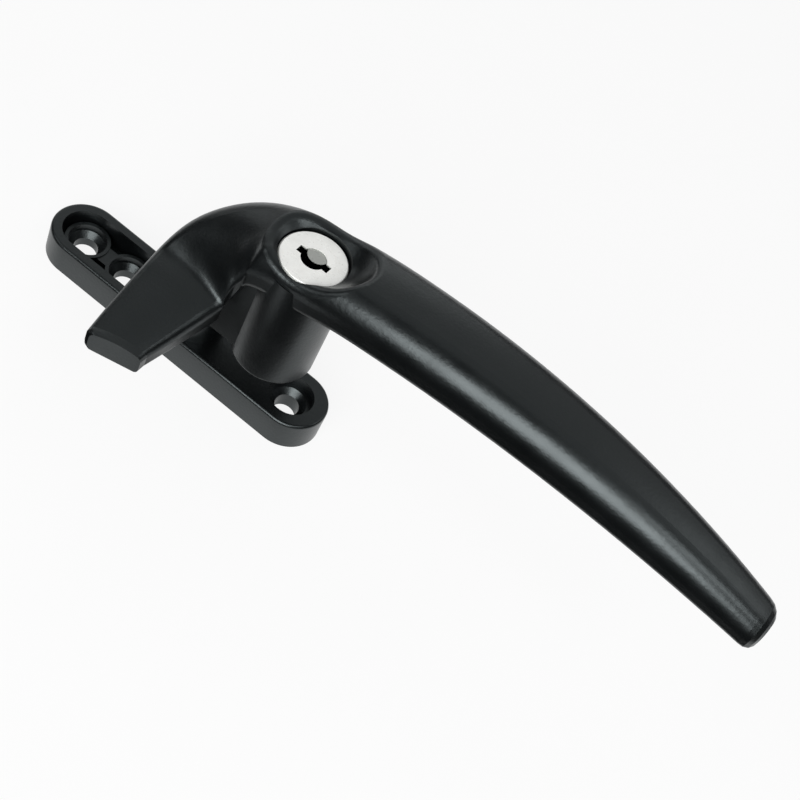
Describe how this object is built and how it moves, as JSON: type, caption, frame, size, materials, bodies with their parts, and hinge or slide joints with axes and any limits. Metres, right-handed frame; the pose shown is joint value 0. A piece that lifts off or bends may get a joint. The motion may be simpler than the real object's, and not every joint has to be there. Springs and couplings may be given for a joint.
{
  "type": "casement window handle",
  "caption": "Black locking cockspur casement handle: arched tapered grip, wedge nose and key lock, turning a quarter turn on a round-ended base plate.",
  "frame": {"origin": "midway between the two end screw holes, on the mounting face of the base plate", "axes": "+Z stands out of the mounting face along the pivot, +X runs along the base plate towards the grip of the closed handle, the nose points along -Y"},
  "size_m": [0.1721, 0.0465, 0.0554],
  "materials": {
    "black_coat": "satin black powder coat",
    "nickel": "bright satin nickel plate",
    "steel": "zinc plated",
    "spring_steel": "blued spring steel",
    "brass": "machined",
    "nylon": "natural nylon"
  },
  "bodies": {
    "base": {"base_plate": "black_coat", "friction_washer": "nylon", "backing_washer": "steel", "wave_washer": "spring_steel"},
    "handle": {"handle_lever": "black_coat", "pivot_spindle": "steel", "retaining_washer": "steel", "circlip": "spring_steel", "lock_sleeve": "brass", "sleeve_pin": "steel", "plug_washer": "spring_steel", "lock_cover": "black_coat"},
    "lock": {"lock_plug": "nickel", "plug_clip": "spring_steel", "wafer_1": "brass", "wafer_2": "brass", "wafer_3": "brass", "wafer_4": "brass", "wafer_5": "brass"},
    "bolt": {"locking_bolt": "steel"}
  },
  "joints": [
    {"name": "handle_swing", "type": "hinge", "parent": "base", "child": "handle", "pos_m": [0.002, 0, 0], "axis": [0, 0, 1], "range_deg": [0, 90]},
    {"name": "lock_turn", "type": "hinge", "parent": "handle", "child": "lock", "pos_m": [0.0208, 0, 0.0458], "axis": [0, 0, 1], "range_deg": [0, 90]},
    {"name": "bolt_throw", "type": "slide", "parent": "handle", "child": "bolt", "axis": [-1, 0, 0], "range_m": [0, 0.003]}
  ],
  "couplings": [
    {"joint": "bolt_throw", "follows": "lock_turn", "m_per_rad": 0.0019098}
  ]
}
